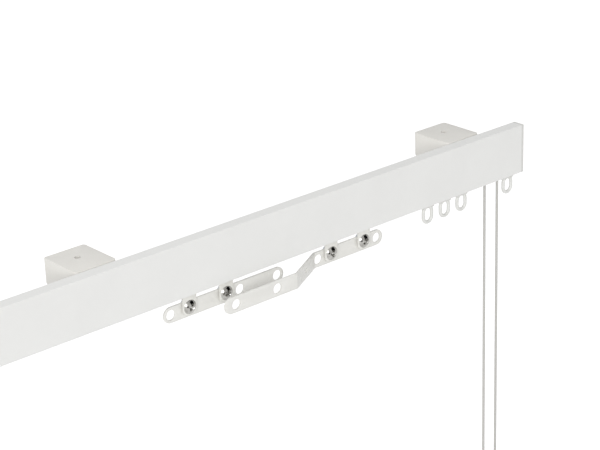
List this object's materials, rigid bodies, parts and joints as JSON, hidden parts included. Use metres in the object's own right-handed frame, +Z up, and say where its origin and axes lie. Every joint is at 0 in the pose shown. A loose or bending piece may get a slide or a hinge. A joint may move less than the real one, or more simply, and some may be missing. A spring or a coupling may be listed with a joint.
{
  "type": "corded curtain track",
  "caption": "Corded ceiling curtain track: flat box profile, two ceiling brackets, coupled overlap arms on carriers, gliders with closed eyes, cord wheels and a hanging cord weight.",
  "frame": {"origin": "midway between the two ceiling screw holes, on the flat tops of the brackets", "axes": "+X along the track towards the end with the cords, -Y out of the flat front, +Z up to the ceiling"},
  "size_m": [0.578, 0.061, 0.3545],
  "materials": {
    "profile_coat": "fine white powder coat",
    "cap_plastic": "moulded, slightly greyer white",
    "bracket_plastic": "moulded, satin",
    "glider_plastic": "moulded, smooth",
    "carrier_plastic": "moulded, smooth",
    "arm_coat": "white enamel on steel strip",
    "zinc_screw": "bright zinc plate",
    "zinc_steel": "zinc plate",
    "axle_steel": "drawn",
    "acetal": "moulded, dull",
    "cord_braid": "braided polyester",
    "weight_plastic": "moulded, smooth",
    "core_steel": "turned"
  },
  "bodies": {
    "track": {"track_profile": "profile_coat", "end_cap_left": "cap_plastic", "end_cap_right": "cap_plastic", "bracket_body_left": "bracket_plastic", "bracket_body_right": "bracket_plastic", "track_nut_left": "zinc_steel", "track_nut_right": "zinc_steel", "clamp_screw_left": "zinc_steel", "clamp_screw_right": "zinc_steel", "drive_housing_front": "acetal", "drive_housing_rear": "acetal", "drop_axle_upper": "axle_steel", "drop_axle_lower": "axle_steel", "return_housing_front": "acetal", "return_housing_rear": "acetal", "return_axle": "axle_steel", "housing_screws": "zinc_steel", "draw_cord_inner": "cord_braid", "draw_cord_falls": "cord_braid", "end_glider_left": "glider_plastic", "end_glider_right": "glider_plastic", "weight_shell": "weight_plastic", "weight_core": "core_steel", "weight_cap": "weight_plastic", "weight_axle": "axle_steel"},
    "carriage_left": {"carrier_left": "carrier_plastic", "cord_clamp_left": "acetal", "overlap_arm_rear": "arm_coat", "arm_screws_left": "zinc_screw", "arm_nuts_left": "zinc_steel"},
    "carriage_right": {"carrier_right": "carrier_plastic", "cord_clamp_right": "acetal", "overlap_arm_front": "arm_coat", "arm_screws_right": "zinc_screw", "arm_nuts_right": "zinc_steel"},
    "upper_wheel": {"drop_pulley_upper": "acetal"},
    "lower_wheel": {"drop_pulley_lower": "acetal"},
    "far_wheel": {"return_pulley": "acetal"},
    "weight_wheel": {"weight_pulley": "acetal"},
    "runner_right_1": {"glider_right_1": "glider_plastic"},
    "runner_right_2": {"glider_right_2": "glider_plastic"},
    "runner_right_3": {"glider_right_3": "glider_plastic"},
    "runner_left_1": {"glider_left_1": "glider_plastic"},
    "runner_left_2": {"glider_left_2": "glider_plastic"},
    "runner_left_3": {"glider_left_3": "glider_plastic"}
  },
  "joints": [
    {"name": "draw_right", "type": "slide", "parent": "track", "child": "carriage_right", "axis": [1, 0, 0], "range_m": [-0.012, 0.038]},
    {"name": "draw_left", "type": "slide", "parent": "track", "child": "carriage_left", "axis": [-1, 0, 0], "range_m": [-0.012, 0.038]},
    {"name": "lower_wheel_turn", "type": "hinge", "parent": "track", "child": "lower_wheel", "pos_m": [0.1884, -0.02725, -0.0309], "axis": [0, 1, 0], "range_deg": [-140, 440]},
    {"name": "upper_wheel_turn", "type": "hinge", "parent": "track", "child": "upper_wheel", "pos_m": [0.2028, -0.02725, -0.0209], "axis": [0, 1, 0], "range_deg": [-440, 140]},
    {"name": "far_wheel_turn", "type": "hinge", "parent": "track", "child": "far_wheel", "pos_m": [-0.3347, -0.02725, -0.0209], "axis": [0, 1, 0], "range_deg": [-440, 140]},
    {"name": "weight_wheel_turn", "type": "hinge", "parent": "track", "child": "weight_wheel", "pos_m": [0.2006, -0.02725, -0.3045], "axis": [0, 1, 0], "range_deg": [-310, 100]},
    {"name": "glide_right_1", "type": "slide", "parent": "track", "child": "runner_right_1", "axis": [1, 0, 0], "range_m": [-0.0125, 0]},
    {"name": "glide_right_2", "type": "slide", "parent": "runner_right_1", "child": "runner_right_2", "axis": [1, 0, 0], "range_m": [-0.0125, 0]},
    {"name": "glide_right_3", "type": "slide", "parent": "runner_right_2", "child": "runner_right_3", "axis": [1, 0, 0], "range_m": [-0.0125, 0]},
    {"name": "glide_left_1", "type": "slide", "parent": "track", "child": "runner_left_1", "axis": [-1, 0, 0], "range_m": [-0.04, 0]},
    {"name": "glide_left_2", "type": "slide", "parent": "runner_left_1", "child": "runner_left_2", "axis": [-1, 0, 0], "range_m": [-0.04, 0]},
    {"name": "glide_left_3", "type": "slide", "parent": "runner_left_2", "child": "runner_left_3", "axis": [-1, 0, 0], "range_m": [-0.04, 0]}
  ],
  "couplings": [
    {"joint": "draw_left", "follows": "draw_right", "ratio": 1},
    {"joint": "lower_wheel_turn", "follows": "draw_right", "rad_per_m": 200},
    {"joint": "upper_wheel_turn", "follows": "draw_right", "rad_per_m": -200},
    {"joint": "far_wheel_turn", "follows": "draw_right", "rad_per_m": -200},
    {"joint": "weight_wheel_turn", "follows": "draw_right", "rad_per_m": -138.89}
  ]
}
